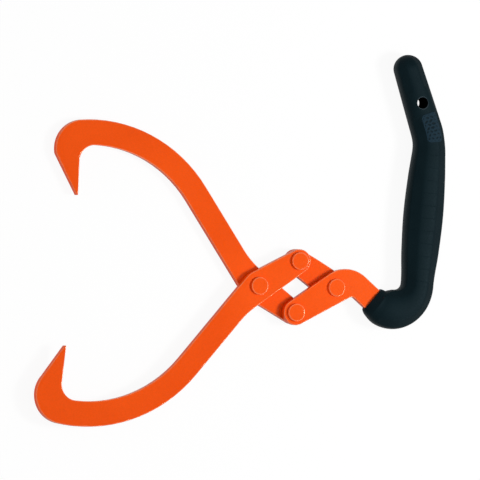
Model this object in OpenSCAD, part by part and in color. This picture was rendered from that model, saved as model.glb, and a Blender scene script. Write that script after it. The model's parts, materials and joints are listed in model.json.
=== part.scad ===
// Log tongs: two flat-steel jaws, a scissor linkage that closes them under pull,
// and a moulded grip that stands up beside the pull line.
// The tongs lie flat. +X runs along the pull line from the main pivot towards the grip,
// +Z points out of the front face, and the origin is under the middle of the whole tool.

/* [Linkage] */
// Pivot distance of the front jaw's arm and of the handle plate
front_arm = 40.5; // [38:0.1:46]
// Pivot distance of the rear jaw's arm and of the short link
rear_arm = 38.6; // [36:0.1:44]
// Angle between the two jaw arms in the pose shown
arm_spread = 64.6; // [58:0.1:74]
// Radius of the rounded eye at the free end of each jaw arm
eye_r = 9.7; // [8.5:0.1:10.5]
// Half width of the arms where they cross a main pivot
boss_half_w = 12.6; // [11:0.1:14]

/* [Plates] */
// Thickness of the steel plates
plate_t = 6.5; // [5:0.5:8]
// Gap between the front and the rear layer of plates
layer_gap = 0.3; // [0.2:0.05:0.6]

/* [Jaws] */
// Width of the jaw bar near the pivot
bar_w = 19.8; // [17:0.1:23]
// Width of the jaw bar where the hook begins
hook_w = 21; // [18:0.5:24]
// Distance from the main pivot to the axis of the bar
bar_offset = 3; // [0:0.5:5]
// Inner radius of the hook
hook_in_r = 13.2; // [8:0.1:18]
// Angle that the inner side of the hook turns through
hook_in_turn = 90; // [75:1:100]
// Outer radius of the hook
hook_out_r = 23.7; // [20:0.1:28]
// Radius of the spike's point
tip_r = 0.6; // [0.4:0.1:2]
// Radius of the outer corner where the arm meets the bar
shoulder_r = 16.4; // [8:0.1:30]
// Radius of the hollow where the arm meets the bar
crook_r = 70; // [30:1:90]

/* [Front jaw] */
// Bend between the arm and the bar
front_bend = 18.7; // [12:0.1:26]
// Length of the straight bar from the pivot
front_straight = 90.3; // [70:0.1:110]
// Radius of the long sweep, on the bar's axis
front_sweep_r = 113.3; // [90:0.1:140]
// Angle of the long sweep
front_sweep = 55.4; // [40:0.1:62]
// Angle that the outer side of the hook turns through
front_hook_turn = 120; // [90:1:125]
// Length of the straight inner side of the spike
front_spike = 32; // [22:0.1:36]

/* [Rear jaw] */
// Bend between the arm and the bar
rear_bend = 22.8; // [16:0.1:30]
// Length of the straight bar from the pivot
rear_straight = 91.5; // [70:0.5:110]
// Radius of the long sweep, on the bar's axis
rear_sweep_r = 109.7; // [90:0.1:140]
// Angle of the long sweep
rear_sweep = 54.3; // [40:0.1:62]
// Angle that the outer side of the hook turns through
rear_hook_turn = 97; // [90:1:125]
// Length of the straight inner side of the spike
rear_spike = 30; // [22:0.1:36]

/* [Short link] */
// Half width of the link at the front jaw
link_eye_r = 9.9; // [9:0.1:11.5]
// Half width of the link at the handle plate
link_boss_r = 12.1; // [10:0.1:13]
// How far the link's outer side bows out between its eyes
link_bow = 0.5; // [0.2:0.1:1]

/* [Rivets] */
// Diameter of the rivet shanks
rivet_d = 9; // [7:0.5:11]
// Diameter of the rivet heads
head_d = 14.6; // [13:0.1:17]
// Height of the rivet heads
head_h = 2.4; // [2:0.1:4]
// Radius round the rim of the rivet heads
head_rim_r = 1; // [0.4:0.1:1.6]
// Radial clearance of a rivet in a plate that turns on it
running_gap = 0.08; // [0.03:0.01:0.1]
// Radial clearance of a rivet in the plate that holds it
fixed_gap = 0.02; // [0.01:0.01:0.05]
// Gap between a head and a plate that turns under it
head_gap = 0.15; // [0.1:0.05:0.4]

/* [Handle plate] */
// Radius of the rounded eye at the rear jaw
handle_eye_r = 10.4; // [8.5:0.1:11.5]
// Width of the plate's neck
neck_w = 19.2; // [16:0.1:21]
// Length of the neck from beside the link pivot to the grip
neck_len = 29.8; // [26:0.1:36]
// Distance from the link pivot to the axis of the neck
neck_offset = 13.9; // [11:0.1:16]
// Angle between the pivot line and the neck
neck_turn = 71.9; // [62:0.1:80]
// Radius of the plate's shoulder over the link pivot
neck_out_r = 26; // [20:0.5:34]
// Radius of the hollow under the link pivot
neck_in_r = 4; // [2:0.5:8]
// Width of the tang inside the grip
tang_w = 14; // [10:0.5:17]
// Length of the tang inside the grip, along its middle
tang_len = 150; // [110:1:165]
// Gap between the tang and the moulding round it
mould_gap = 0.05; // [0.03:0.01:0.2]

/* [Grip] */
// Width of the grip at the end face where the plate enters
collar_w = 21.8; // [20.4:0.2:24]
// Depth of the grip at that end face
collar_d = 12; // [11:0.5:16]
// Width of the grip at the top of the chamfer round its end face
flare_w = 26.6; // [25:0.1:29]
// Depth of the grip there
flare_d = 20.5; // [17:0.5:24]
// Length of that chamfer
flare_len = 5.5; // [4:0.5:7]
// Width of the grip at the outside of its elbow
elbow_w = 32.6; // [29:0.1:34]
// Width of the grip just above the elbow
throat_w = 26.4; // [24:0.2:29]
// Width of the grip under the palm
palm_w = 32.8; // [29:0.2:35]
// Width of the grip under the horn
wrist_w = 26; // [24:0.2:29]
// Width of the horn at its rounded end
horn_w = 22.5; // [20:0.1:25]
// Depth of the grip under the palm
palm_d = 25.6; // [22:0.2:28]
// Depth of the horn
horn_d = 24; // [20:0.5:26]
// Squareness of the section, 2 is an ellipse
section_power = 2.5; // [2:0.1:3.5]
// Straight length between the end face and the elbow
collar_len = 4.1; // [2:0.1:8]
// Radius of the elbow on the grip's middle line
elbow_r = 22.1; // [20:0.1:27]
// Angle of the elbow
elbow_turn = 126.4; // [115:0.1:130]
// Length of the straight palm part
palm_len = 107.7; // [90:0.1:120]
// Radius of the bend under the horn
wrist_r = 54; // [40:1:70]
// Angle of the bend under the horn
wrist_turn = 23.1; // [10:0.1:35]
// Length of the horn with its rounded end
horn_len = 62.9; // [52:0.1:80]
// Diameter of the hole for hanging the tongs up
hole_d = 9.4; // [7:0.2:11]
// Distance from the end of the horn to the hole
hole_from_end = 41; // [22:0.5:46]
// Width of the chamfer round the hole's mouths
hole_chamfer = 0.8; // [0.4:0.1:1.2]

/* [Hidden] */

paint = "#f4581a";
plastic = "#1c2a30";
$fn = 72;
arc_step = 4;
bow_steps = 8;

// Pivot places in the plane of the plates, with the main pivot at the middle
front_dir = atan2(rear_arm * sin(arm_spread), front_arm + rear_arm * cos(arm_spread));
rear_dir = front_dir - arm_spread;
main_pivot = [0, 0];
jaw_link_pivot = front_arm * heading(front_dir);
jaw_handle_pivot = rear_arm * heading(rear_dir);
link_handle_pivot = jaw_link_pivot + jaw_handle_pivot;

// Heights of the two layers
front_z = layer_gap / 2;
rear_z = -layer_gap / 2 - plate_t;
middle_z = front_z + plate_t / 2;

// How far the outer side of a jaw runs on along its sweep past the start of the hook
run_on = 6.2;

// Small helpers for outlines. A heading is an angle from +X, a turn is positive to the left.
function heading(a) = [cos(a), sin(a)];
function right_of(a) = [sin(a), -cos(a)];
function turned(p, a) = [p[0] * cos(a) - p[1] * sin(a), p[0] * sin(a) + p[1] * cos(a)];
function between(a, b, t) = a + (b - a) * t;
function signed_turn(a, b) = (b - a + 540) % 360 - 180;

// Points along an arc from angle a to angle b
function arc(c, r, a, b) =
    let (n = max(1, ceil(abs(b - a) / arc_step)))
    [for (i = [0 : n]) c + r * heading(a + (b - a) * i / n)];

// Where the line through p with heading a meets the line through q with heading b
function meet(p, a, q, b) =
    let (u = heading(a), v = heading(b), d = q - p)
    p + u * (d[0] * v[1] - d[1] * v[0]) / (u[0] * v[1] - u[1] * v[0]);

// A corner at p rounded to radius r, reached with heading a and left with heading b
function rounded(p, a, b, r) =
    let (turn = signed_turn(a, b), side = sign(turn), back = r * tan(abs(turn) / 2))
    arc(p - back * heading(a) - side * r * right_of(a), r, a - 90 * side, a - 90 * side + turn);

// Angle by which an arm's side leans, from its boss at the origin to an eye of radius r at distance d
function side_lean(d, r, half_w) = asin((half_w - r) / d);

// Outline of a jaw, with its main pivot at the origin and its arm along +X.
// From the pivot the bar runs to the left, sweeps up in a long arc and ends in the hook.
function jaw_outline(arm, bend, straight, sweep_r, sweep, hook_turn, spike) =
    let (
        lean = side_lean(arm, eye_r, boss_half_w),
        eye = [arm, 0],
        out = 180 + bend,
        start = bar_offset * right_of(out) + straight * heading(out),
        middle = start + sweep_r * right_of(out),
        n = ceil(sweep / arc_step),
        turns = [for (i = [0 : n]) out - sweep * i / n],
        widths = [for (i = [0 : n]) between(bar_w, hook_w, i / n) / 2],
        inner = [for (i = [0 : n]) middle - (sweep_r - widths[i]) * right_of(turns[i])],
        outer = [for (i = [0 : n]) middle - (sweep_r + widths[i]) * right_of(turns[i])],
        hook_from = out - sweep,
        hook_in_middle = inner[n] + hook_in_r * right_of(hook_from),
        spike_dir = hook_from - hook_in_turn,
        hook_inner = arc(hook_in_middle, hook_in_r, hook_from + 90, spike_dir + 90),
        tip = hook_inner[len(hook_inner) - 1] + spike * heading(spike_dir),
        run_r = sweep_r + hook_w / 2,
        run_to = hook_from - run_on,
        run = arc(middle, run_r, run_to + 90, hook_from + 90),
        hook_out_middle = run[0] + hook_out_r * right_of(run_to),
        hook_outer = arc(hook_out_middle, hook_out_r, run_to - hook_turn + 90, run_to + 90),
        cut_dir = let (d = hook_outer[0] - tip) atan2(d[1], d[0]),
        shoulder = rounded(meet(eye + eye_r * heading(90 - lean), 180 - lean, inner[0], out),
                           180 - lean, out, shoulder_r),
        crook = rounded(meet(outer[0], out, eye + eye_r * heading(lean - 90), lean),
                        out - 180, lean, crook_r)
    )
    concat(arc(eye, eye_r, lean - 90, 90 - lean), shoulder, inner, hook_inner,
           rounded(tip, spike_dir, cut_dir, tip_r), hook_outer, run,
           [for (i = [n - 1 : -1 : 0]) outer[i]], crook);

// Points of a slightly bowed line from a to b, without its ends, that swells to the right
function bowed(a, b, rise) =
    let (out = right_of(atan2(b[1] - a[1], b[0] - a[0])))
    [for (k = [1 : bow_steps - 1]) let (u = k / bow_steps) between(a, b, u) + 4 * rise * u * (1 - u) * out];

// A link between two eyes, the first at the origin and the second on +X, with its right side bowed
function link_outline(d, r1, r2) =
    let (lean = side_lean(d, r2, r1))
    concat(
        arc([0, 0], r1, 90 - lean, 270 + lean),
        bowed(r1 * heading(270 + lean), [d, 0] + r2 * heading(lean - 90), link_bow),
        arc([d, 0], r2, lean - 90, 90 - lean)
    );

// The grip's middle line: place and heading at distance s from the end face, which has heading 0
elbow_len = elbow_r * elbow_turn * PI / 180;
wrist_len = wrist_r * wrist_turn * PI / 180;
elbow_s = collar_len + elbow_len;
palm_s = elbow_s + palm_len;
wrist_s = palm_s + wrist_len;
grip_len = wrist_s + horn_len;
elbow_middle = [collar_len, elbow_r];
elbow_end = elbow_middle + elbow_r * right_of(elbow_turn);
palm_end = elbow_end + palm_len * heading(elbow_turn);
horn_dir = elbow_turn + wrist_turn;
wrist_middle = palm_end - wrist_r * right_of(elbow_turn);
wrist_end = wrist_middle + wrist_r * right_of(horn_dir);

function grip_heading(s) =
    s < collar_len ? 0 :
    s < elbow_s ? (s - collar_len) / elbow_r * 180 / PI :
    s < palm_s ? elbow_turn :
    s < wrist_s ? elbow_turn + (s - palm_s) / wrist_r * 180 / PI : horn_dir;
function grip_place(s) =
    s < collar_len ? [s, 0] :
    s < elbow_s ? elbow_middle + elbow_r * right_of(grip_heading(s)) :
    s < palm_s ? elbow_end + (s - elbow_s) * heading(elbow_turn) :
    s < wrist_s ? wrist_middle + wrist_r * right_of(grip_heading(s)) :
    wrist_end + (s - wrist_s) * heading(horn_dir);

// Half widths and half depths along the grip, with the palm's swell between throat and wrist
// The elbow swells early and is widest well before its end
swell_at = 0.14;
swell_share = 0.66;
depth_share = 0.7;
heel_at = 0.4;
heel_s = collar_len + elbow_len * heel_at;
// The palm is widest just past the middle of the straight part
crest_at = 0.53;
crest_s = elbow_s + palm_len * crest_at;
belly_at = 0.46;
belly_share = 0.62;
// Towards the bend the grip narrows slowly at first
nape_at = 0.4;
nape_s = palm_s + wrist_len * nape_at;
fade_at = 0.52;
fade_share = 0.34;
sections = [
    [flare_len, flare_w / 2, flare_d / 2],
    [collar_len + elbow_len * swell_at, between(flare_w, elbow_w, swell_share) / 2,
     between(flare_d, palm_d, depth_share) / 2],
    [heel_s, elbow_w / 2, palm_d / 2],
    [elbow_s, throat_w / 2, palm_d / 2],
    [between(elbow_s, crest_s, belly_at), between(throat_w, palm_w, belly_share) / 2, palm_d / 2],
    [crest_s, palm_w / 2, palm_d / 2],
    [between(crest_s, nape_s, fade_at), between(palm_w, wrist_w, fade_share) / 2, palm_d / 2],
    [nape_s, wrist_w / 2, between(palm_d, horn_d, depth_share) / 2],
    [wrist_s, wrist_w / 2, horn_d / 2],
    [grip_len, horn_w / 2, horn_d / 2]
];

// A smooth curve through column c of the sections
function section_slope(i, c) =
    let (a = sections[max(0, i - 1)], b = sections[min(len(sections) - 1, i + 1)]) (b[c] - a[c]) / (b[0] - a[0]);
function section_index(s, i = 0) =
    (i >= len(sections) - 2 || s < sections[i + 1][0]) ? i : section_index(s, i + 1);
function smooth(s, c) =
    let (
        i = section_index(s),
        a = sections[i],
        b = sections[i + 1],
        h = b[0] - a[0],
        u = (s - a[0]) / h,
        p = section_slope(i, c) * h,
        q = section_slope(i + 1, c) * h
    )
    a[c] + u * (p + u * (3 * (b[c] - a[c]) - 2 * p - q + u * (p + q - 2 * (b[c] - a[c]))));

// The end face's chamfer is straight and the far end is a dome
dome_r = horn_w / 2;
dome_s = grip_len - dome_r;
function dome_share(s) = s <= dome_s ? 1 : sqrt(max(0, 1 - pow((s - dome_s) / dome_r, 2)));
function half_w(s) =
    s < flare_len ? between(collar_w, flare_w, sqrt(s / flare_len)) / 2 : smooth(s, 1) * dome_share(s);
function half_d(s) =
    s < flare_len ? between(collar_d, flare_d, s / flare_len) / 2 : smooth(s, 2) * dome_share(s);

// Distances of the rings along the grip
ring_step = 5;
body_rings = ceil((dome_s - flare_len) / ring_step);
ring_s = concat(
    [0, flare_len * 0.2, flare_len * 0.55],
    [for (i = [0 : body_rings]) between(flare_len, dome_s, i / body_rings)],
    [for (a = [15 : 14 : 85]) dome_s + dome_r * sin(a)]
);
ring_points = 28;

// One ring of the grip: a squared ellipse, drawn in the plane across the middle line
function ring(s) =
    let (c = grip_place(s), side = right_of(grip_heading(s)), w = half_w(s), d = half_d(s), e = 2 / section_power)
    [for (k = [0 : ring_points - 1])
        let (
            a = 360 * (k + 0.5) / ring_points,
            x = w * sign(cos(a)) * pow(abs(cos(a)), e),
            z = d * sign(sin(a)) * pow(abs(sin(a)), e)
        )
        [c[0] + side[0] * x, c[1] + side[1] * x, z]];

// Outline of the tang, grown by extra on all sides, from just outside the end face
tang_from = -1;
tang_half = tang_w / 2;
tang_taper = 14;
tang_steps = 40;
function tang_half_w(s) = between(neck_w / 2, tang_half, max(0, min(1, s / tang_taper)));
function tang_side(side, extra, from) =
    [for (i = [0 : tang_steps])
        let (s = between(from, tang_len, i / tang_steps))
        grip_place(s) + side * (tang_half_w(s) + extra) * right_of(grip_heading(s))];
function tang_outline(extra, from) =
    let (a = grip_heading(tang_len), left = tang_side(-1, extra, from))
    concat(tang_side(1, extra, from), arc(grip_place(tang_len), tang_half + extra, a - 90, a + 90),
           [for (i = [tang_steps : -1 : 0]) left[i]]);

// The grip's own place: its end face stands across the end of the neck
neck_dir = front_dir - neck_turn;
neck_start = link_handle_pivot - neck_offset * right_of(neck_dir);
grip_start = neck_start + neck_len * heading(neck_dir);
function from_grip(p) = grip_start + turned(p, neck_dir);

// Outline of the handle plate without its tang, in the plane of the tongs
function handle_outline() =
    let (
        lean = side_lean(front_arm, handle_eye_r, boss_half_w),
        top_dir = front_dir + lean,
        low_dir = front_dir - lean,
        top_at = jaw_handle_pivot - handle_eye_r * right_of(top_dir),
        low_at = jaw_handle_pivot + handle_eye_r * right_of(low_dir),
        neck_left = grip_start - neck_w / 2 * right_of(neck_dir),
        neck_right = grip_start + neck_w / 2 * right_of(neck_dir)
    )
    concat(arc(jaw_handle_pivot, handle_eye_r, top_dir + 90, low_dir + 270),
           rounded(meet(low_at, low_dir, neck_right, neck_dir), low_dir, neck_dir, neck_in_r),
           [neck_right, neck_left],
           rounded(meet(top_at, top_dir, neck_left, neck_dir), neck_dir + 180, top_dir + 180, neck_out_r));

// Middle and floor of the whole tool, which set the origin
function placed(points, a, flip = 1) = [for (p = points) turned([p[0], p[1] * flip], a)];
front_points = placed(jaw_outline(front_arm, front_bend, front_straight, front_sweep_r, front_sweep,
                                  front_hook_turn, front_spike), front_dir);
rear_points = placed(jaw_outline(rear_arm, rear_bend, rear_straight, rear_sweep_r, rear_sweep,
                                 rear_hook_turn, rear_spike), rear_dir, -1);
grip_points = [for (s = ring_s, p = ring(s)) from_grip([p[0], p[1]])];
all_points = concat(front_points, rear_points, grip_points);
low_x = min([for (p = all_points) p[0]]);
high_x = max([for (p = all_points) p[0]]);
low_y = min([for (p = all_points) p[1]]);
high_y = max([for (p = all_points) p[1]]);
rivet_foot = rear_z - head_gap - head_h;
grip_foot = middle_z - max([for (s = ring_s, p = ring(s)) p[2]]);
origin_shift = [-(low_x + high_x) / 2, -(low_y + high_y) / 2, -min(rivet_foot, grip_foot)];

module eye_hole(p, gap) {
    translate([p[0], p[1], -1]) cylinder(r = rivet_d / 2 + gap, h = plate_t + 2);
}

// A flat plate with its outline in the plane of the tongs and its lower face at height z
module plate(points, z) {
    translate(origin_shift + [0, 0, z]) difference() {
        linear_extrude(plate_t) polygon(points);
        children();
    }
}

// A rivet at p, with the undersides of its heads at the heights low and high
module rivet(p, low, high) {
    edge = head_d / 2;
    shank = rivet_d / 2;
    profile = concat(
        [[0, low - head_h]],
        arc([edge - head_rim_r, low - head_h + head_rim_r], head_rim_r, -90, 0),
        [[edge, low], [shank, low], [shank, high], [edge, high]],
        arc([edge - head_rim_r, high + head_h - head_rim_r], head_rim_r, 0, 90),
        [[0, high + head_h]]
    );
    translate(origin_shift + [p[0], p[1], 0]) rotate_extrude() polygon(profile);
}

module front_jaw() {
    color(paint) plate(front_points, front_z) {
        eye_hole(main_pivot, running_gap);
        eye_hole(jaw_link_pivot, running_gap);
    }
}

module rear_jaw() {
    color(paint) plate(rear_points, rear_z) {
        eye_hole(main_pivot, fixed_gap);
        eye_hole(jaw_handle_pivot, running_gap);
    }
}

module short_link() {
    points = placed(link_outline(rear_arm, link_boss_r, link_eye_r), rear_dir + 180);
    color(paint) plate([for (p = points) link_handle_pivot + p], rear_z) {
        eye_hole(jaw_link_pivot, fixed_gap);
        eye_hole(link_handle_pivot, running_gap);
    }
}

module handle_plate() {
    color(paint) translate(origin_shift + [0, 0, front_z]) difference() {
        linear_extrude(plate_t) {
            polygon(handle_outline());
            polygon([for (p = tang_outline(0, 0)) from_grip(p)]);
        }
        eye_hole(jaw_handle_pivot, fixed_gap);
        eye_hole(link_handle_pivot, fixed_gap);
    }
}

module grip_body() {
    rings = [for (s = ring_s) each ring(s)];
    n = ring_points;
    last = len(ring_s) - 1;
    sides = [for (j = [0 : last - 1], k = [0 : n - 1])
        let (a = j * n + k, b = j * n + (k + 1) % n)
        each [[a, b, b + n], [a, b + n, a + n]]];
    polyhedron(rings, concat(
        [[for (k = [n - 1 : -1 : 0]) k]],
        sides,
        [[for (k = [0 : n - 1]) last * n + k]]
    ));
}

module grip() {
    hole_s = grip_len - hole_from_end;
    hole_at = grip_place(hole_s);
    hole_r = hole_d / 2;
    mouth = half_d(hole_s);
    color(plastic)
    translate(origin_shift + [grip_start[0], grip_start[1], middle_z]) rotate(neck_dir) difference() {
        grip_body();
        translate([0, 0, -plate_t / 2 - mould_gap])
            linear_extrude(plate_t + 2 * mould_gap) polygon(tang_outline(mould_gap, tang_from));
        translate([hole_at[0], hole_at[1], 0]) {
            cylinder(r = hole_r, h = 3 * mouth, center = true);
            for (side = [0, 180]) rotate([side, 0, 0]) translate([0, 0, mouth - hole_chamfer])
                cylinder(r1 = hole_r, r2 = hole_r + 2 * hole_chamfer, h = 2 * hole_chamfer);
        }
    }
}

module main_rivet() {
    color(paint) rivet(main_pivot, rear_z, front_z + plate_t + head_gap);
}

module jaw_link_rivet() {
    color(paint) rivet(jaw_link_pivot, rear_z, front_z + plate_t + head_gap);
}

module jaw_handle_rivet() {
    color(paint) rivet(jaw_handle_pivot, rear_z - head_gap, front_z + plate_t);
}

module link_handle_rivet() {
    color(paint) rivet(link_handle_pivot, rear_z - head_gap, front_z + plate_t);
}

front_jaw();
rear_jaw();
short_link();
handle_plate();
grip();
main_rivet();
jaw_link_rivet();
jaw_handle_rivet();
link_handle_rivet();
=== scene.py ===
"""Looks of the log tongs: painted steel plates with softened edges and a textured moulded grip."""

import json
import math

import bmesh
import bpy
from mathutils import Matrix, Vector
from mathutils.geometry import tessellate_polygon


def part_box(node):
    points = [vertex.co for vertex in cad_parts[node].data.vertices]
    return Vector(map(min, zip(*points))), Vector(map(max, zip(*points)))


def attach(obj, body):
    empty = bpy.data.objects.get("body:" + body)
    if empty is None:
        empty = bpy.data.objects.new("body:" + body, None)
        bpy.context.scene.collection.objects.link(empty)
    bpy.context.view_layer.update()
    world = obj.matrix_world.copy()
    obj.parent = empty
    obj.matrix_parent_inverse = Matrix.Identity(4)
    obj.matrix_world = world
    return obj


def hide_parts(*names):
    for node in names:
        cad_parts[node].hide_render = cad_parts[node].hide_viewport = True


MM = 0.001

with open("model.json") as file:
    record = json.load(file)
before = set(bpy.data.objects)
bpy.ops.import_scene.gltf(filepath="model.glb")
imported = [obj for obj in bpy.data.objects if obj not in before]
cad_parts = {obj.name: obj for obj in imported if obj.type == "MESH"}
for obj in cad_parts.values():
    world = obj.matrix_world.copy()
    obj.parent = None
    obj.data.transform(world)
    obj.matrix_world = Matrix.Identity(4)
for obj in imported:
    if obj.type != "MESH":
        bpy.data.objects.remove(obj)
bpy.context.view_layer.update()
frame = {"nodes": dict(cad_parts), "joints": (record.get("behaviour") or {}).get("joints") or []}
joint_at = {j["name"]: Vector(j["pos_m"]) for j in frame["joints"]}


# Helpers for the plane of the plates, in metres and degrees
def heading(a):
    return Vector((math.cos(math.radians(a)), math.sin(math.radians(a))))


def right_of(a):
    return Vector((math.sin(math.radians(a)), -math.cos(math.radians(a))))


def mix(a, b, t):
    return a + (b - a) * t


# Materials
class Nodes:
    """A short way of adding and joining shader nodes."""

    def __init__(self, name):
        self.material = bpy.data.materials.new(name)
        self.material.use_nodes = True
        self.tree = self.material.node_tree
        self.shader = self.tree.nodes["Principled BSDF"]
        self.output = self.tree.nodes["Material Output"]

    def add(self, kind, **values):
        node = self.tree.nodes.new(kind)
        for key, value in values.items():
            setattr(node, key, value)
        return node

    def link(self, a, b):
        self.tree.links.new(a, b)

    def noise(self, coords, scale, detail=2.0, roughness=0.5):
        node = self.add("ShaderNodeTexNoise")
        node.inputs["Scale"].default_value = scale
        node.inputs["Detail"].default_value = detail
        node.inputs["Roughness"].default_value = roughness
        self.link(coords, node.inputs["Vector"])
        return node.outputs["Fac"]

    def remap(self, value, low, high, from_low=0.0, from_high=1.0):
        node = self.add("ShaderNodeMapRange")
        node.inputs["From Min"].default_value = from_low
        node.inputs["From Max"].default_value = from_high
        node.inputs["To Min"].default_value = low
        node.inputs["To Max"].default_value = high
        self.link(value, node.inputs["Value"])
        return node.outputs["Result"]

    def blend(self, share, a, b):
        node = self.add("ShaderNodeMix", data_type="RGBA")
        node.inputs["A"].default_value = (*a, 1)
        node.inputs["B"].default_value = (*b, 1)
        self.link(share, node.inputs["Factor"])
        return node.outputs["Result"]

    def bump(self, height, strength, distance, normal=None):
        node = self.add("ShaderNodeBump")
        node.inputs["Strength"].default_value = strength
        node.inputs["Distance"].default_value = distance
        self.link(height, node.inputs["Height"])
        if normal is not None:
            self.link(normal, node.inputs["Normal"])
        return node.outputs["Normal"]


# How far the surface's direction points up or down where a face, a rounded edge or a wall begins
FACE_Z, EDGE_Z = 0.9985, 0.988
OFF_WALL_Z, WALL_Z = 0.3, 0.1


def edge_share(m, place):
    """Shares from the surface's own direction: one on rounded edges, and one everywhere but on walls."""
    parts = m.add("ShaderNodeSeparateXYZ")
    m.link(place.outputs["Normal"], parts.inputs[0])
    steep = m.add("ShaderNodeMath", operation="ABSOLUTE")
    m.link(parts.outputs["Z"], steep.inputs[0])
    off_face = m.remap(steep.outputs[0], 1, 0, EDGE_Z, FACE_Z)
    off_wall = m.remap(steep.outputs[0], 0, 1, WALL_Z, OFF_WALL_Z)
    both = m.add("ShaderNodeMath", operation="MULTIPLY")
    m.link(off_face, both.inputs[0])
    m.link(off_wall, both.inputs[1])
    return both.outputs[0], off_wall


# Powder coat: colours, gloss, and the scales of its patterns
PAINT_DEEP = (0.85, 0.0745, 0.0006)
PAINT_BRIGHT = (0.91, 0.0855, 0.0012)
# Paler edge colour: part worn paint, part a painted highlight along the rounded edges
PAINT_WORN_HIGHLIGHT = (1.0, 0.26, 0.08)
PAINT_TINT = (1.0, 0.8, 0.56)
PAINT_ROUGHNESS = (0.14, 0.2)
FACE_GLOSS, EDGE_GLOSS, WALL_GLOSS = 0.14, 1.0, 0.15
SPECK_SHADE = (0.96, 1.04)
WEAR_HIGHLIGHT_SHARE = (0.15, 0.5)
DRIFT_SCALE = 14
WEAR_HIGHLIGHT_SCALE = 60
WAVE_SCALE = 90
PEEL_SCALE = 420
SPECK_SCALE = 900
WAVE_STRENGTH, WAVE_HEIGHT = 0.12, 0.4 * MM
PEEL_STRENGTH, PEEL_HEIGHT = 0.22, 0.08 * MM
# The part of a noise's range that holds nearly all of its values, wide and narrow
WIDE = (0.3, 0.7)
NARROW = (0.35, 0.65)


def paint_material(name):
    """Orange powder coat: fine orange peel, drift of colour and gloss, and paler, glossier edges, part worn
    paint and part painted highlight.
    """
    m = Nodes(name)
    place = m.add("ShaderNodeTexCoord")
    coords = place.outputs["Object"]
    edge, off_wall = edge_share(m, place)
    drift = m.noise(coords, DRIFT_SCALE, 3)
    speck = m.noise(coords, SPECK_SCALE, 2)
    peel = m.noise(coords, PEEL_SCALE, 2, 0.6)
    wave = m.noise(coords, WAVE_SCALE, 2)
    tone = m.remap(drift, 0, 1, *NARROW)
    colour = m.blend(tone, PAINT_DEEP, PAINT_BRIGHT)
    grain = m.remap(speck, *SPECK_SHADE, *WIDE)
    scaled = m.add("ShaderNodeVectorMath", operation="SCALE")
    m.link(colour, scaled.inputs[0])
    m.link(grain, scaled.inputs["Scale"])
    # Rounded edges take the paler colour: part wear, part painted highlight
    worn_highlight = m.add("ShaderNodeMix", data_type="RGBA")
    highlight_share = m.add("ShaderNodeMath", operation="MULTIPLY")
    m.link(edge, highlight_share.inputs[0])
    m.link(m.remap(m.noise(coords, WEAR_HIGHLIGHT_SCALE, 3), *WEAR_HIGHLIGHT_SHARE, *NARROW), highlight_share.inputs[1])
    m.link(highlight_share.outputs[0], worn_highlight.inputs["Factor"])
    m.link(scaled.outputs[0], worn_highlight.inputs["A"])
    worn_highlight.inputs["B"].default_value = (*PAINT_WORN_HIGHLIGHT, 1)
    m.link(worn_highlight.outputs["Result"], m.shader.inputs["Base Color"])
    m.link(m.remap(drift, *PAINT_ROUGHNESS, *WIDE), m.shader.inputs["Roughness"])
    gloss = m.add("ShaderNodeMath", operation="MULTIPLY")
    m.link(m.remap(edge, FACE_GLOSS, EDGE_GLOSS), gloss.inputs[0])
    m.link(m.remap(off_wall, WALL_GLOSS, 1), gloss.inputs[1])
    m.shader.inputs["Specular Tint"].default_value = (*PAINT_TINT, 1)
    m.shader.inputs["Specular IOR Level"].default_value = FACE_GLOSS
    m.link(gloss.outputs[0], m.shader.inputs["Specular IOR Level"])
    soft = m.bump(wave, WAVE_STRENGTH, WAVE_HEIGHT)
    m.link(m.bump(peel, PEEL_STRENGTH, PEEL_HEIGHT, soft), m.shader.inputs["Normal"])
    return m.material


# Plastic: the scales and depths of its patterns, and its gloss
MOTTLE_SCALE = 60
PIT_SCALE = 620
GRAIN_SCALE = 1500
PIT_DEPTH = 0.12 * MM
GRAIN_DEPTH = 0.06 * MM
PLASTIC_TINT = (0.6, 0.88, 1.0)
PLASTIC_GLOSS = 0.05


def plastic_material(name, dark, pale, roughness, grain_strength, specular=PLASTIC_GLOSS, raised=None):
    """Moulded plastic: fine spark-eroded grain with a faint mottle, and a colour for raised places."""
    m = Nodes(name)
    coords = m.add("ShaderNodeTexCoord").outputs["Object"]
    mottle = m.noise(coords, MOTTLE_SCALE, 4, 0.6)
    grain = m.noise(coords, GRAIN_SCALE, 2, 0.6)
    pits = m.noise(coords, PIT_SCALE, 2, 0.5)
    colour = m.blend(m.remap(mottle, 0, 1, *WIDE), dark, pale)
    if raised:
        lift = m.add("ShaderNodeMix", data_type="RGBA")
        share = m.add("ShaderNodeAttribute")
        share.attribute_name = "rise"
        m.link(share.outputs["Fac"], lift.inputs["Factor"])
        m.link(colour, lift.inputs["A"])
        lift.inputs["B"].default_value = (*raised, 1)
        colour = lift.outputs["Result"]
    m.link(colour, m.shader.inputs["Base Color"])
    m.link(m.remap(pits, *roughness, *WIDE), m.shader.inputs["Roughness"])
    m.shader.inputs["Specular IOR Level"].default_value = specular
    m.shader.inputs["Specular Tint"].default_value = (*PLASTIC_TINT, 1)
    coarse = m.bump(pits, grain_strength, PIT_DEPTH)
    m.link(m.bump(grain, grain_strength, GRAIN_DEPTH, coarse), m.shader.inputs["Normal"])
    return m.material


paint = paint_material("orange_powder_coat")
rivet_paint = paint_material("orange_rivet_coat")
plastic = plastic_material(
    "dark_moulded_plastic", dark=(0.0026, 0.0077, 0.01), pale=(0.0037, 0.0098, 0.0126),
    roughness=(0.46, 0.54), grain_strength=0.3)
pad_plastic = plastic_material(
    "etched_plastic", dark=(0.003, 0.007, 0.0095), pale=(0.006, 0.012, 0.016),
    roughness=(0.5, 0.6), grain_strength=0.4, raised=(0.0095, 0.0225, 0.034))
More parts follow.
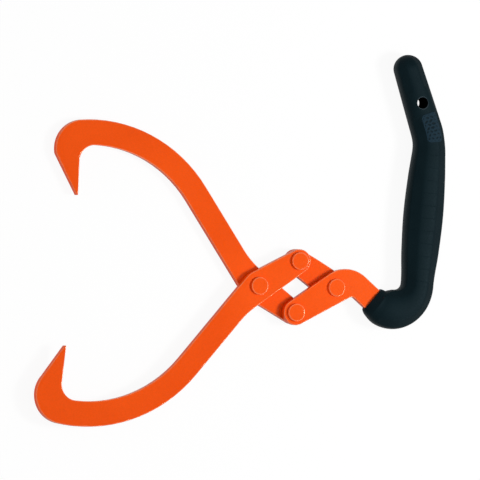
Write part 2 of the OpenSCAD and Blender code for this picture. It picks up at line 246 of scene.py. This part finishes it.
# Paler plastic for the hanging hole's chamfered rim: part rubbing, part painted highlight
rubbed_plastic_highlight = plastic_material(
    "rubbed_plastic_highlight", dark=(0.03, 0.045, 0.055), pale=(0.05, 0.07, 0.08),
    roughness=(0.35, 0.45), grain_strength=0.1)
# Darker, dull plastic for the hanging hole's wall: painted shade in the hole
bored_plastic_shade = plastic_material(
    "bored_plastic_shade", dark=(0.0015, 0.003, 0.004), pale=(0.002, 0.0045, 0.0055),
    roughness=(0.8, 0.9), grain_strength=0.3, specular=0)

WELD = 1e-7


def new_object(name, vertices, faces, material, body):
    """A smooth closed or open piece that rides a body."""
    mesh = bpy.data.meshes.new(name)
    mesh.from_pydata([tuple(v) for v in vertices], [], faces)
    mesh.update()
    work = bmesh.new()
    work.from_mesh(mesh)
    bmesh.ops.remove_doubles(work, verts=work.verts, dist=WELD)
    bmesh.ops.recalc_face_normals(work, faces=work.faces)
    work.to_mesh(mesh)
    work.free()
    piece = bpy.data.objects.new(name, mesh)
    bpy.context.scene.collection.objects.link(piece)
    mesh.materials.append(material)
    for polygon in mesh.polygons:
        polygon.use_smooth = True
    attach(piece, body)
    return piece


# Steel plates: the outline and holes of each solid, with the edges rounded over
EDGE_R = 0.8 * MM
EDGE_STEPS = 4
EDGE_SHARP = 38
# At a tip the rounding is at most this share of what fits, and from there it grows with the distance
TIP_SHARE = 0.8
TIP_GROWTH = 0.12
TIP_PASSES = 3
TIP_TURN = 1e-4
# Points closer than this, or on a line within this turn and span, are left out
NEAR = 1e-6
STRAIGHT_TURN = 1e-5
STRAIGHT_SPAN = 12 * MM
DECIMALS = 7
UPWARD = 0.9


def plate_loops(node):
    """The edge loops of a plate's upper face, the outline turning left and the holes turning right."""
    mesh = frame["nodes"][node].data
    low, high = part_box(node)
    spot = {}
    index = []
    points = []
    for v in mesh.vertices:
        key = tuple(round(value, DECIMALS) for value in v.co)
        if key not in spot:
            spot[key] = len(points)
            points.append(v.co.copy())
        index.append(spot[key])
    edges = {}
    for polygon in mesh.polygons:
        corners = [index[i] for i in polygon.vertices]
        if polygon.normal.z > UPWARD and all(points[i].z > high.z - NEAR for i in corners):
            for a, b in zip(corners, corners[1:] + corners[:1]):
                edges[(a, b)] = True
    follow = {a: b for a, b in edges if (b, a) not in edges}
    loops = []
    while follow:
        start = min(follow)
        loop = [start]
        at = follow.pop(start)
        while at != start:
            loop.append(at)
            at = follow.pop(at)
        loops.append([points[i].to_2d() for i in loop])
    return loops, low.z, high.z


def area(loop):
    """The area inside a loop, negative where it turns right."""
    return sum(a.x * b.y - b.x * a.y for a, b in zip(loop, loop[1:] + loop[:1])) / 2


def drop_straight(loop):
    """Leaves out points that lie on the line between their neighbours."""
    kept = []
    for i, p in enumerate(loop):
        a, b = loop[i - 1], loop[(i + 1) % len(loop)]
        if (p - a).length < NEAR:
            continue
        turn = abs((p - a).normalized().cross((b - p).normalized()))
        if turn > STRAIGHT_TURN or (b - a).length > STRAIGHT_SPAN:
            kept.append(p)
    return kept


def inset_directions(loop):
    """For each point the way that moves both its edges in by one unit, and how far it may go."""
    result = []
    for i, p in enumerate(loop):
        a, b = loop[i - 1], loop[(i + 1) % len(loop)]
        u, v = (p - a).normalized(), (b - p).normalized()
        left_u, left_v = Vector((-u.y, u.x)), Vector((-v.y, v.x))
        way = (left_u + left_v) / (1 + left_u.dot(left_v))
        turn = u.cross(v)
        reach = EDGE_R
        if turn > TIP_TURN:
            reach = min(EDGE_R, TIP_SHARE * (b - a).length / 2 / turn)
        result.append((way, reach))
    return result


def eased(loop, reaches):
    """Spreads a short reach to its neighbours, so that the rounding fades towards a tip."""
    for _ in range(TIP_PASSES):
        for order in (range(len(loop)), range(len(loop) - 1, -1, -1)):
            step = 1 if order.step > 0 else -1
            for i in order:
                j = (i - step) % len(loop)
                gap = (loop[i] - loop[j]).length
                reaches[i] = min(reaches[i], reaches[j] + TIP_GROWTH * gap)
    return reaches


def rounded_plate(node, body):
    """Replaces a plate by one with rounded outer edges and the same outline, holes and faces."""
    loops, low, high = plate_loops(node)
    loops = [drop_straight(loop) for loop in loops]
    loops.sort(key=lambda loop: -abs(area(loop)))
    outline, holes = loops[0], loops[1:]
    ways = inset_directions(outline)
    reaches = eased(outline, [reach for _, reach in ways])
    vertices = []
    rings = []

    def ring(upper, angle):
        rings.append([len(vertices) + i for i in range(len(outline))])
        for p, (way, _), reach in zip(outline, ways, reaches):
            q = p + way * reach * (1 - math.cos(angle))
            rise = reach * (1 - math.sin(angle))
            vertices.append((q.x, q.y, high - rise if upper else low + rise))

    angles = [math.pi / 2 * k / EDGE_STEPS for k in range(EDGE_STEPS + 1)]
    for angle in reversed(angles):
        ring(False, angle)
    for angle in angles:
        ring(True, angle)
    faces = []
    n = len(outline)
    for a, b in zip(rings, rings[1:]):
        faces += [(a[i], a[(i + 1) % n], b[(i + 1) % n], b[i]) for i in range(n)]
    hole_rings = []
    for hole in holes:
        pair = []
        for z in (low, high):
            pair.append([len(vertices) + i for i in range(len(hole))])
            vertices.extend((p.x, p.y, z) for p in hole)
        hole_rings.append(pair)
        m = len(hole)
        faces += [(pair[0][i], pair[0][(i + 1) % m], pair[1][(i + 1) % m], pair[1][i]) for i in range(m)]
    for side, edge in ((0, rings[0]), (1, rings[-1])):
        borders = [edge] + [pair[side] for pair in hole_rings]
        flat = [i for border in borders for i in border]
        shape = [[Vector(vertices[i]) for i in border] for border in borders]
        faces += [tuple(flat[i] for i in triangle) for triangle in tessellate_polygon(shape)]
    piece = new_object(node + "_rounded", vertices, faces, paint, body)
    piece.data.set_sharp_from_angle(angle=math.radians(EDGE_SHARP))
    weighted = piece.modifiers.new("even_shading", "WEIGHTED_NORMAL")
    weighted.keep_sharp = True
    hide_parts(node)


rounded_plate("front_jaw", "front_jaw")
rounded_plate("rear_jaw", "rear_jaw")
rounded_plate("short_link", "link")
rounded_plate("handle_plate", "handle")
for name in ("main_rivet", "jaw_link_rivet", "jaw_handle_rivet", "link_handle_rivet"):
    frame["nodes"][name].material_slots[0].material = rivet_paint

# Grip: the same swept form as the solid, with sizes in millimetres
NECK_TURN = 71.9
NECK_OFFSET = 13.9
NECK_LEN = 29.8
COLLAR_LEN = 4.1
ELBOW_R = 22.1
ELBOW_TURN = 126.4
PALM_LEN = 107.7
WRIST_R = 54
WRIST_TURN = 23.1
HORN_LEN = 62.9
COLLAR_W, COLLAR_D = 21.8, 12
FLARE_W, FLARE_D, FLARE_LEN = 26.6, 20.5, 5.5
CREASE_D, CREASE_TO = 22.6, 24.0
ELBOW_W = 32.6
THROAT_W = 26.4
PALM_W, PALM_D = 32.8, 25.6
WRIST_W = 26
HORN_W, HORN_D = 22.5, 24
SWELL_AT, SWELL_SHARE = 0.14, 0.66
DEPTH_SHARE = 0.7
HEEL_AT = 0.4
CREST_AT = 0.53
BELLY_AT, BELLY_SHARE = 0.46, 0.62
NAPE_AT = 0.4
FADE_AT, FADE_SHARE = 0.52, 0.34
SECTION_POWER = 2.5
HOLE_D = 9.4
HOLE_FROM_END = 41
HOLE_CHAMFER = 0.8
SKIN = 0.08

front_dir = math.degrees(math.atan2(*reversed((joint_at["link_fold"] - joint_at["fold"]).to_2d())))
neck_dir = front_dir - NECK_TURN
neck_start = joint_at["link_fold"].to_2d() / MM - NECK_OFFSET * right_of(neck_dir)
grip_start = neck_start + NECK_LEN * heading(neck_dir)
plate_low, plate_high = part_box("handle_plate")
middle_z = (plate_low.z + plate_high.z) / 2 / MM

elbow_len = math.radians(ELBOW_TURN) * ELBOW_R
wrist_len = math.radians(WRIST_TURN) * WRIST_R
elbow_s = COLLAR_LEN + elbow_len
palm_s = elbow_s + PALM_LEN
wrist_s = palm_s + wrist_len
grip_len = wrist_s + HORN_LEN
elbow_middle = Vector((COLLAR_LEN, ELBOW_R))
elbow_end = elbow_middle + ELBOW_R * right_of(ELBOW_TURN)
palm_end = elbow_end + PALM_LEN * heading(ELBOW_TURN)
horn_dir = ELBOW_TURN + WRIST_TURN
wrist_middle = palm_end - WRIST_R * right_of(ELBOW_TURN)
wrist_end = wrist_middle + WRIST_R * right_of(horn_dir)
hole_s = grip_len - HOLE_FROM_END


def grip_heading(s):
    """The direction of the grip's middle line at distance s, in its own plane."""
    if s < COLLAR_LEN:
        return 0
    if s < elbow_s:
        return math.degrees((s - COLLAR_LEN) / ELBOW_R)
    if s < palm_s:
        return ELBOW_TURN
    if s < wrist_s:
        return ELBOW_TURN + math.degrees((s - palm_s) / WRIST_R)
    return horn_dir


def grip_place(s):
    """The place on the grip's middle line at distance s, in its own plane."""
    if s < COLLAR_LEN:
        return Vector((s, 0))
    if s < elbow_s:
        return elbow_middle + ELBOW_R * right_of(grip_heading(s))
    if s < palm_s:
        return elbow_end + (s - elbow_s) * heading(ELBOW_TURN)
    if s < wrist_s:
        return wrist_middle + WRIST_R * right_of(grip_heading(s))
    return wrist_end + (s - wrist_s) * heading(horn_dir)


crest_s = elbow_s + PALM_LEN * CREST_AT
nape_s = palm_s + wrist_len * NAPE_AT
# Place along the grip, half width and half depth
SECTIONS = [
    (FLARE_LEN, FLARE_W / 2, FLARE_D / 2),
    (COLLAR_LEN + elbow_len * SWELL_AT, mix(FLARE_W, ELBOW_W, SWELL_SHARE) / 2,
     mix(FLARE_D, PALM_D, DEPTH_SHARE) / 2),
    (COLLAR_LEN + elbow_len * HEEL_AT, ELBOW_W / 2, PALM_D / 2),
    (elbow_s, THROAT_W / 2, PALM_D / 2),
    (mix(elbow_s, crest_s, BELLY_AT), mix(THROAT_W, PALM_W, BELLY_SHARE) / 2, PALM_D / 2),
    (crest_s, PALM_W / 2, PALM_D / 2),
    (mix(crest_s, nape_s, FADE_AT), mix(PALM_W, WRIST_W, FADE_SHARE) / 2, PALM_D / 2),
    (nape_s, WRIST_W / 2, mix(PALM_D, HORN_D, DEPTH_SHARE) / 2),
    (wrist_s, WRIST_W / 2, HORN_D / 2),
    (grip_len, HORN_W / 2, HORN_D / 2),
]


def section_slope(i, column):
    a, b = SECTIONS[max(0, i - 1)], SECTIONS[min(len(SECTIONS) - 1, i + 1)]
    return (b[column] - a[column]) / (b[0] - a[0])


def smooth(s, column):
    """A smooth curve through one column of the sections."""
    i = 0
    while i < len(SECTIONS) - 2 and s >= SECTIONS[i + 1][0]:
        i += 1
    a, b = SECTIONS[i], SECTIONS[i + 1]
    h = b[0] - a[0]
    u = (s - a[0]) / h
    p, q = section_slope(i, column) * h, section_slope(i + 1, column) * h
    rise = b[column] - a[column]
    return a[column] + u * (p + u * (3 * rise - 2 * p - q + u * (p + q - 2 * rise)))


dome_r = HORN_W / 2
dome_s = grip_len - dome_r


def half_sizes(s):
    """Half width and half depth of the grip at distance s."""
    if s < FLARE_LEN:
        share = s / FLARE_LEN
        return mix(COLLAR_W, FLARE_W, math.sqrt(share)) / 2, mix(COLLAR_D, CREASE_D, share) / 2
    share = 1 if s <= dome_s else math.sqrt(max(0, 1 - ((s - dome_s) / dome_r) ** 2))
    depth = smooth(s, 2)
    if s < CREASE_TO:
        depth = max(depth, mix(CREASE_D, PALM_D, (s - FLARE_LEN) / (CREASE_TO - FLARE_LEN)) / 2)
    return smooth(s, 1) * share, depth * share


def to_row(p, z):
    """A point of the grip's own plane, in the row frame in metres."""
    turn = Matrix.Rotation(math.radians(neck_dir), 2)
    q = grip_start + turn @ Vector((p.x, p.y))
    return Vector((q.x, q.y, middle_z + z)) * MM


def power(value, exponent):
    return math.copysign(abs(value) ** exponent, value)


# Score lines round the palm part
LINE_STEP = 10.43
LINE_COUNT = 11
LINE_FROM = 2.8
LINE_HALF_W = 0.36
LINE_DEPTH = 0.09
line_places = [elbow_s + LINE_FROM + LINE_STEP * i for i in range(LINE_COUNT)]


def line_dip(s):
    """How deep the score lines cut at distance s."""
    near = min(abs(s - place) for place in line_places)
    if near > LINE_HALF_W:
        return 0
    return LINE_DEPTH * (0.5 + 0.5 * math.cos(math.pi * near / LINE_HALF_W))


# The moulding's flat front and back, with slanting sides that fade out at the collar and the hole
FLAT_SHARE = 0.36
SLANT = 0.78
ELBOW_FLAT_SHARE = 0.48
ELBOW_SLANT = 1.12
FACET_SOFT = 0.5
FACET_CHANGE_FROM, FACET_CHANGE_LEN = 0.55, 0.45
COLLAR_FADE = 7.0
HOLE_BOSS = 6.5
HOLE_FADE = 5.0


def eased_share(share):
    share = max(0, min(1, share))
    return share * share * (3 - 2 * share)


def facet_share(s):
    """How far the slanting sides are formed at distance s, from none to fully."""
    return eased_share(min((s - FLARE_LEN) / COLLAR_FADE, (abs(s - hole_s) - HOLE_BOSS) / HOLE_FADE))


def faceted(s, x, z, width, depth):
    """The height on the section, held under a slanting plane with a soft edge between them."""
    share = facet_share(s)
    if share <= 0 or width <= 0:
        return z
    towards_palm = eased_share((s - elbow_s * FACET_CHANGE_FROM) / (elbow_s * FACET_CHANGE_LEN))
    flat = mix(ELBOW_FLAT_SHARE, FLAT_SHARE, towards_palm)
    slant = mix(ELBOW_SLANT, SLANT, towards_palm)
    plane = depth * (1 - slant * (abs(x) / width - flat)) + (1 - share) * depth
    near = max(0, FACET_SOFT - abs(abs(z) - plane)) / FACET_SOFT
    height = min(abs(z), plane) - near * near * FACET_SOFT / 4
    return math.copysign(max(0, height), z)


def grip_point(s, angle, out=0.0):
    """A point on the grip's skin at distance s and an angle round the section, raised by out."""
    width, depth = half_sizes(s)
    shrink = SKIN + line_dip(s) - out
    width, depth = max(width - shrink, 0), max(depth - shrink, 0)
    exponent = 2 / SECTION_POWER
    x = width * power(math.cos(angle), exponent)
    z = faceted(s, x, depth * power(math.sin(angle), exponent), width, depth)
    p = grip_place(s) + right_of(grip_heading(s)) * x
    return to_row(p, z)


AROUND = 144
ALONG = 1.6
COLLAR_RINGS = [0, 0.25, 0.7, 1.5, 2.6, 3.8, 4.8]
CREASE_BEFORE, CREASE_AFTER = 0.12, 0.15
LINE_RINGS = (-1.3, -1, -0.66, -0.33, 0, 0.33, 0.66, 1, 1.3)
LINE_CLEAR = 1.5
DOME_STEP = 6


def grip_rings():
    """The places of the rings along the grip, closer at the collar, the score lines and the end."""
    places = COLLAR_RINGS + [FLARE_LEN - CREASE_BEFORE, FLARE_LEN, FLARE_LEN + CREASE_AFTER]
    count = math.ceil((dome_s - FLARE_LEN) / ALONG)
    places += [mix(FLARE_LEN + CREASE_AFTER, dome_s, i / count) for i in range(1, count + 1)]
    clear = LINE_HALF_W * LINE_CLEAR
    places = [s for s in places if min(abs(s - place) for place in line_places) > clear]
    for place in line_places:
        places += [place + LINE_HALF_W * share for share in LINE_RINGS]
    places += [dome_s + dome_r * math.sin(math.radians(a)) for a in range(DOME_STEP, 90, DOME_STEP)]
    return sorted(places)


def build_grip():
    places = grip_rings()
    vertices = [grip_point(s, 2 * math.pi * (k + 0.5) / AROUND) for s in places for k in range(AROUND)]
    faces = []
    for j in range(len(places) - 1):
        for k in range(AROUND):
            a, b = j * AROUND + k, j * AROUND + (k + 1) % AROUND
            faces.append((a, b, b + AROUND, a + AROUND))
    for ring, s in ((0, 0), (len(places) - 1, grip_len - SKIN)):
        middle = len(vertices)
        vertices.append(to_row(grip_place(s), 0))
        base = ring * AROUND
        faces += [(base + k, base + (k + 1) % AROUND, middle) for k in range(AROUND)]
    return new_object("grip_moulding", vertices, faces, plastic, "handle")


def cut(piece, vertices, faces):
    """Cuts the closed form given by vertices and faces out of a piece."""
    mesh = bpy.data.meshes.new("cutter")
    mesh.from_pydata([tuple(v) for v in vertices], [], faces)
    work = bmesh.new()
    work.from_mesh(mesh)
    bmesh.ops.recalc_face_normals(work, faces=work.faces)
    work.to_mesh(mesh)
    work.free()
    cutter = bpy.data.objects.new("cutter", mesh)
    bpy.context.scene.collection.objects.link(cutter)
    modifier = piece.modifiers.new("cut", "BOOLEAN")
    modifier.object = cutter
    modifier.operation = "DIFFERENCE"
    modifier.solver = "EXACT"
    bpy.context.view_layer.update()
    evaluated = piece.evaluated_get(bpy.context.evaluated_depsgraph_get())
    result = bpy.data.meshes.new_from_object(evaluated)
    piece.modifiers.remove(modifier)
    old = piece.data
    piece.data = result
    bpy.data.meshes.remove(old)
    bpy.data.objects.remove(cutter)
    bpy.data.meshes.remove(mesh)


HOLE_SIDES = 64
# Between these shares of up or down the surface is the hole's rim, and below them its wall
RIM_FROM_Z, RIM_TO_Z = 0.3, 0.85
RIM_HIGHLIGHT_SLOT, SHADED_WALL_SLOT = 1, 2
GRIP_SHARP = 16


def hang_hole(piece):
    """Cuts the hanging hole with its chamfered rims."""
    r = HOLE_D / 2
    c = HOLE_CHAMFER
    top = half_sizes(hole_s)[1] - SKIN
    profile = [(r + 2 * c, top + c), (r, top - c), (r, c - top), (r + 2 * c, -top - c)]
    centre = grip_place(hole_s)
    vertices = []
    for radius, z in profile:
        for k in range(HOLE_SIDES):
            vertices.append(to_row(centre + radius * heading(360 * k / HOLE_SIDES), z))
    faces = []
    n = HOLE_SIDES
    for j in range(len(profile) - 1):
        low, high = j * n, (j + 1) * n
        faces += [(low + k, low + (k + 1) % n, high + (k + 1) % n, high + k) for k in range(n)]
    faces.append(tuple(range(n)))
    faces.append(tuple(range(len(vertices) - n, len(vertices))))
    cut(piece, vertices, faces)


grip = build_grip()
hang_hole(grip)
grip.data.materials.append(rubbed_plastic_highlight)
grip.data.materials.append(bored_plastic_shade)
hole_place = to_row(grip_place(hole_s), 0)
for polygon in grip.data.polygons:
    polygon.use_smooth = True
    near_hole = (polygon.center - hole_place).to_2d().length < (HOLE_D / 2 + HOLE_CHAMFER) * MM
    # A paler ring on the hole's chamfered rim: rubbed plastic and a painted highlight
    if near_hole and RIM_FROM_Z < abs(polygon.normal.z) < RIM_TO_Z:
        polygon.material_index = RIM_HIGHLIGHT_SLOT
    # The hole's wall takes the darker plastic: painted shade in the hole
    elif near_hole and abs(polygon.normal.z) <= RIM_FROM_Z:
        polygon.material_index = SHADED_WALL_SLOT
grip.data.set_sharp_from_angle(angle=math.radians(GRIP_SHARP))
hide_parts("grip")

# A plain stippled panel on the front of the bend
PAD_FROM, PAD_TO = 170.4, 194.9
PAD_MIDDLE = 1.8
PAD_HALF_W = 7.0
PAD_CORNER = 3.4
PAD_RISE = 0.3
PAD_BEVEL = 0.35
PAD_MARGIN = 0.05
PAD_SINK = 0.03
PAD_THICKNESS = 0.4
DOT_PITCH_S, DOT_PITCH_X = 2.9, 3.9
DOT_HALF_S, DOT_HALF_X = 1.2, 2.3
DOT_DEPTH = 0.27
# How the dimples' sizes and lean vary from row to row and column to column
DOT_SIZE, DOT_SIZE_SPREAD = 0.82, 0.3
SIZE_BEAT, SPREAD_BEAT, LEAN_BEAT = (5.1, 2.3), (-1.9, 3.7), (2.9, -4.3)
PAD_RIM = 1.1
PAD_STEP = 0.22


def superellipse_angle(x, width):
    """The angle on the section at which its across value is x."""
    return math.acos(max(-1, min(1, power(x / width, SECTION_POWER / 2))))


def pad_inside(u, v):
    """Distance from the panel's rounded border, positive inside. u runs along the grip, v across it."""
    half_u = (PAD_TO - PAD_FROM) / 2
    du = abs(u) - (half_u - PAD_CORNER)
    dv = abs(v) - (PAD_HALF_W - PAD_CORNER)
    outside = math.hypot(max(du, 0), max(dv, 0))
    return PAD_CORNER - outside if outside > 0 else PAD_CORNER - max(du, dv)


def beat(rates, row, column):
    return rates[0] * row + rates[1] * column


def dimple(u, v):
    """Depth share of the dimple at a place, with sizes that vary from dimple to dimple."""
    row = round(u / DOT_PITCH_S)
    shift = DOT_PITCH_X / 2 if row % 2 else 0
    column = round((v - shift) / DOT_PITCH_X)
    du = u - row * DOT_PITCH_S
    dv = v - shift - column * DOT_PITCH_X
    spread = math.sin(beat(SIZE_BEAT, row, column)) * math.cos(beat(SPREAD_BEAT, row, column))
    size = DOT_SIZE + DOT_SIZE_SPREAD * spread
    lean = math.sin(beat(LEAN_BEAT, row, column))
    du, dv = du + lean * dv, dv - lean * du
    return math.sqrt(max(0, 1 - math.hypot(du / DOT_HALF_S, dv / DOT_HALF_X) ** 2 / size ** 2))


def pad_height(u, v):
    inside = pad_inside(u, v)
    base = PAD_RISE * max(0, min(1, inside / PAD_BEVEL))
    return base - (DOT_DEPTH * dimple(u, v) if inside > PAD_RIM else 0)


def build_pad():
    """The panel's skin on the front face, with its rise kept for the colour of its raised places."""
    nu = math.ceil((PAD_TO - PAD_FROM) / PAD_STEP)
    nv = math.ceil(2 * PAD_HALF_W / PAD_STEP)
    middle = (PAD_FROM + PAD_TO) / 2
    grid = {}
    vertices = []
    rises = []
    for i in range(nu + 1):
        s = mix(PAD_FROM, PAD_TO, i / nu)
        width = half_sizes(s)[0]
        for j in range(nv + 1):
            v = mix(-PAD_HALF_W, PAD_HALF_W, j / nv)
            if pad_inside(s - middle, v) < -PAD_MARGIN:
                continue
            angle = superellipse_angle(v + PAD_MIDDLE, width - SKIN)
            grid[(i, j)] = len(vertices)
            height = pad_height(s - middle, v)
            rises.append(max(0, min(1, height / PAD_RISE)) ** 2)
            vertices.append(grip_point(s, angle, height - PAD_SINK))
    faces = []
    for i in range(nu):
        for j in range(nv):
            corners = [(i, j), (i + 1, j), (i + 1, j + 1), (i, j + 1)]
            if all(c in grid for c in corners):
                faces.append(tuple(grid[c] for c in corners))
    piece = new_object("grip_panel", vertices, faces, pad_plastic, "handle")
    piece.data.attributes.new("rise", "FLOAT", "POINT").data.foreach_set("value", rises)
    thick = piece.modifiers.new("thickness", "SOLIDIFY")
    thick.thickness = PAD_THICKNESS * MM
    thick.offset = -1


build_pad()

# Floor, world, lamps and camera
FLOOR_HALF = 6.0
FLOOR_Z = -0.02 * MM
FLOOR_DARK, FLOOR_PALE = (0.42, 0.42, 0.42), (0.46, 0.46, 0.46)
FLOOR_CLOUD_SCALE = 6
FLOOR_SEEN = (0.97, 0.97, 0.97)
FLOOR_GLOW = 0.93
AMBIENT = 0.33
WHITE = (1, 1, 1, 1)


def seen_ray(tree):
    """One on the rays that show the background: straight from the camera, mirrored or let through."""
    path = tree.nodes.new("ShaderNodeLightPath")
    seen = path.outputs["Is Camera Ray"]
    for kind in ("Is Glossy Ray", "Is Transmission Ray"):
        either = tree.nodes.new("ShaderNodeMath")
        either.operation = "MAXIMUM"
        tree.links.new(seen, either.inputs[0])
        tree.links.new(path.outputs[kind], either.inputs[1])
        seen = either.outputs[0]
    return seen


def floor_material():
    """A pale floor that lights the object as a grey one would, and shows white with a soft shadow."""
    m = Nodes("pale_floor")
    tree = m.tree
    tree.nodes.remove(m.shader)
    coords = m.add("ShaderNodeTexCoord").outputs["Object"]
    diffuse = m.add("ShaderNodeBsdfDiffuse")
    glow = m.add("ShaderNodeEmission")
    seen = seen_ray(tree)
    share = m.add("ShaderNodeMath", operation="MULTIPLY")
    m.link(seen, share.inputs[0])
    share.inputs[1].default_value = FLOOR_GLOW
    tint = m.add("ShaderNodeMix", data_type="RGBA")
    m.link(seen, tint.inputs["Factor"])
    m.link(m.blend(m.noise(coords, FLOOR_CLOUD_SCALE, 2), FLOOR_DARK, FLOOR_PALE), tint.inputs["A"])
    tint.inputs["B"].default_value = (*FLOOR_SEEN, 1)
    m.link(tint.outputs["Result"], diffuse.inputs["Color"])
    both = m.add("ShaderNodeMixShader")
    m.link(share.outputs[0], both.inputs["Fac"])
    m.link(diffuse.outputs[0], both.inputs[1])
    m.link(glow.outputs[0], both.inputs[2])
    m.link(both.outputs[0], m.output.inputs["Surface"])
    return m.material


floor_mesh = bpy.data.meshes.new("floor")
floor_corners = [(x * FLOOR_HALF, y * FLOOR_HALF, FLOOR_Z) for x, y in ((-1, -1), (1, -1), (1, 1), (-1, 1))]
floor_mesh.from_pydata(floor_corners, [], [(0, 1, 2, 3)])
floor_mesh.materials.append(floor_material())
floor = bpy.data.objects.new("floor", floor_mesh)
bpy.context.scene.collection.objects.link(floor)

world = bpy.data.worlds.new("studio")
bpy.context.scene.world = world
world.use_nodes = True
world_tree = world.node_tree
background = world_tree.nodes["Background"]
background.inputs["Color"].default_value = WHITE
background.inputs["Strength"].default_value = AMBIENT
white = world_tree.nodes.new("ShaderNodeBackground")
white.inputs["Color"].default_value = WHITE
both = world_tree.nodes.new("ShaderNodeMixShader")
world_tree.links.new(seen_ray(world_tree), both.inputs["Fac"])
world_tree.links.new(background.outputs[0], both.inputs[1])
world_tree.links.new(white.outputs[0], both.inputs[2])
world_tree.links.new(both.outputs[0], world_tree.nodes["World Output"].inputs["Surface"])


def area_lamp(name, place, width, height, watts, glossy=True, diffuse=True):
    """A rectangular lamp that points at the origin and isn't seen by the camera."""
    data = bpy.data.lights.new(name, "AREA")
    data.shape = "RECTANGLE"
    data.size = width
    data.size_y = height
    data.energy = watts
    lamp = bpy.data.objects.new(name, data)
    bpy.context.scene.collection.objects.link(lamp)
    lamp.location = place
    lamp.rotation_mode = "QUATERNION"
    lamp.rotation_quaternion = (-Vector(place)).to_track_quat("-Z", "Y")
    lamp.visible_camera = False
    lamp.visible_glossy = glossy
    lamp.visible_diffuse = diffuse


area_lamp("right_key", place=(0.93, -0.08, 1.22), width=0.3, height=0.3, watts=14)
area_lamp("right_softbox", place=(0.6, -0.12, 1.1), width=1.0, height=1.0, watts=3.8, glossy=False)
area_lamp("low_strip", place=(1.0, -1.0, 0.85), width=1.5, height=0.06, watts=11, diffuse=False)
area_lamp("left_fill", place=(-1.1, 0.1, 0.16), width=1.4, height=0.24, watts=4.0, glossy=False)

# Camera: the photograph looks at the front face from 19 degrees to the left
TILT = 19.0
ROLL = 1.33
PIXELS_PER_MM = 1.22
IMAGE = 480
LENS = 1500
SENSOR = 36
CLIP_END = 60
# Where the main pivot lies in the image, in pixels, and its place in the plane of the fit, in millimetres
PIVOT_AT = (260.3, 286.0)
PIVOT_SHIFT = Vector((-3.05, 0.02))
across = heading(ROLL)
up = Vector((-across.y, across.x, 0))
tilt_cos, tilt_sin = math.cos(math.radians(TILT)), math.sin(math.radians(TILT))
right = Vector((across.x * tilt_cos, across.y * tilt_cos, tilt_sin))
back = right.cross(up)
off_x = (IMAGE / 2 - PIVOT_AT[0]) / PIXELS_PER_MM / tilt_cos
off_y = (PIVOT_AT[1] - IMAGE / 2) / PIXELS_PER_MM
from_pivot = off_x * across + off_y * up.to_2d() - PIVOT_SHIFT
main_pivot = joint_at["jaw_fold"]
target = Vector((main_pivot.x + from_pivot.x * MM, main_pivot.y + from_pivot.y * MM, main_pivot.z))
camera_data = bpy.data.cameras.new("camera")
camera_data.sensor_width = SENSOR
camera_data.lens = LENS
camera_data.clip_end = CLIP_END
distance = IMAGE / PIXELS_PER_MM * MM * LENS / SENSOR
camera = bpy.data.objects.new("camera", camera_data)
bpy.context.scene.collection.objects.link(camera)
facing = Matrix((right, up, back)).transposed().to_4x4()
camera.matrix_world = Matrix.Translation(target + back * distance) @ facing
bpy.context.scene.camera = camera
bpy.context.scene.view_settings.view_transform = "Standard"

bpy.context.view_layer.update()
